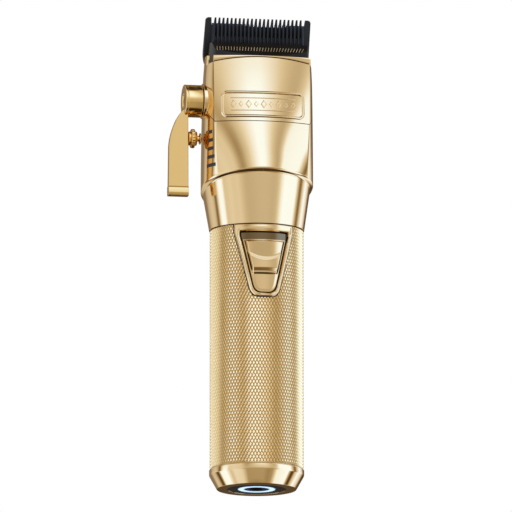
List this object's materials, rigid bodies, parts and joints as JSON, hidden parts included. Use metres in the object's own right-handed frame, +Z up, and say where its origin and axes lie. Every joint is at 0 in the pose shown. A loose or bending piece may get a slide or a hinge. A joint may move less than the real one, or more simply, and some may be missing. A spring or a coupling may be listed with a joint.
{
  "type": "hair clipper",
  "caption": "Cordless hair clipper with a toothed blade set, taper lever, sliding power switch and a round knurled battery grip.",
  "frame": {"origin": "centre of the end cap's flat foot, on the grip axis", "axes": "+Z up along the grip to the blades, -Y the front with the badge and switch, -X the taper lever side"},
  "size_m": [0.0627, 0.0456, 0.2033],
  "materials": {
    "polished_gold": "polished gold plate",
    "black_print": "matt black filled marks",
    "badge_gold": "polished raised frame, satin field",
    "mirror_gold": "mirror polished gold",
    "spring_steel": "bright",
    "bearing_steel": "ground",
    "black_nylon": "moulded",
    "board_green": "soldered board",
    "contact_gold": "plated",
    "lead_red": "insulated wire",
    "bezel_gold": "polished",
    "lever_gold": "polished",
    "knob_gold": "polished",
    "black_blade": "matt black coated steel",
    "steel": "ground",
    "screw_gold": "polished",
    "white_nylon": "moulded",
    "magnet": "sintered",
    "slider_gold": "satin",
    "grip_gold": "diamond knurled, anodised gold",
    "cap_gold": "mirror polished gold",
    "black_gloss": "smooth black",
    "light_blue": "glowing light pipe",
    "cell_wrap": "shrink wrapped"
  },
  "bodies": {
    "head": {"main_housing": "polished_gold", "side_scale": "black_print", "face_plate": "polished_gold", "badge_plaque": "badge_gold", "nose_frame": "black_gloss", "nose_lip": "mirror_gold", "blade_bed": "steel", "tension_spring": "spring_steel", "lever_bushing": "steel", "motor_can": "steel", "motor_end_bell": "steel", "stator_core": "steel", "lower_bearing": "bearing_steel", "upper_bearing": "bearing_steel", "motor_mount": "steel", "motor_screws": "steel", "inner_chassis": "black_nylon", "chassis_screws": "screw_gold", "control_board": "board_green", "slide_switch": "black_nylon", "contact_block": "black_nylon", "contact_pins": "contact_gold", "motor_leads": "lead_red", "switch_bezel": "bezel_gold", "release_spring": "spring_steel"},
    "lever": {"taper_lever": "lever_gold", "lever_screw": "screw_gold", "lever_shaft": "steel", "detent_sleeve": "knob_gold", "detent_spring": "spring_steel"},
    "detent": {"detent_pin": "knob_gold"},
    "blade_set": {"fixed_blade": "black_blade", "blade_carrier": "steel", "blade_screws": "screw_gold"},
    "cutter": {"cutter_blade": "black_blade", "cutter_yoke": "white_nylon"},
    "rotor": {"rotor_shaft": "bearing_steel", "rotor_magnet": "magnet", "drive_cam": "steel", "cam_bearing": "bearing_steel"},
    "switch": {"switch_slider": "slider_gold"},
    "release": {"release_button": "slider_gold"},
    "battery": {"grip_sleeve": "grip_gold", "end_cap": "cap_gold", "cap_window": "black_gloss", "light_ring": "light_blue", "charge_socket": "black_gloss", "socket_contact": "contact_gold", "charge_board": "board_green", "battery_tube": "black_nylon", "battery_cell": "cell_wrap", "cell_holder": "black_nylon", "cell_tabs": "spring_steel", "battery_contacts": "contact_gold"}
  },
  "joints": [
    {"name": "taper_lever_hinge", "type": "hinge", "parent": "head", "child": "lever", "pos_m": [-0.028, -0.001, 0.167], "axis": [1, 0, 0], "range_deg": [-35, 0]},
    {"name": "blade_slide", "type": "slide", "parent": "head", "child": "blade_set", "axis": [0, 0.309, -0.9511], "range_m": [0, 0.0019]},
    {"name": "cutter_stroke", "type": "slide", "parent": "head", "child": "cutter", "axis": [1, 0, 0], "range_m": [-0.00125, 0.00125]},
    {"name": "rotor_spin", "type": "hinge", "parent": "head", "child": "rotor", "pos_m": [0, 0, 0.135], "axis": [0, 0, 1], "continuous": true},
    {"name": "power_switch_slide", "type": "slide", "parent": "head", "child": "switch", "axis": [0, 0, 1], "range_m": [0, 0.003]},
    {"name": "release_press", "type": "slide", "parent": "head", "child": "release", "axis": [0, -1, 0], "range_m": [0, 0.0012], "stiffness_N_per_m": 600},
    {"name": "grip_pull", "type": "slide", "parent": "head", "child": "battery", "axis": [0, 0, -1], "range_m": [0, 0.048]},
    {"name": "detent_press", "type": "slide", "parent": "lever", "child": "detent", "axis": [-1, 0, 0], "range_m": [0, 0.0008], "stiffness_N_per_m": 300}
  ],
  "couplings": [
    {"joint": "blade_slide", "follows": "taper_lever_hinge", "m_per_rad": -0.0031103}
  ]
}
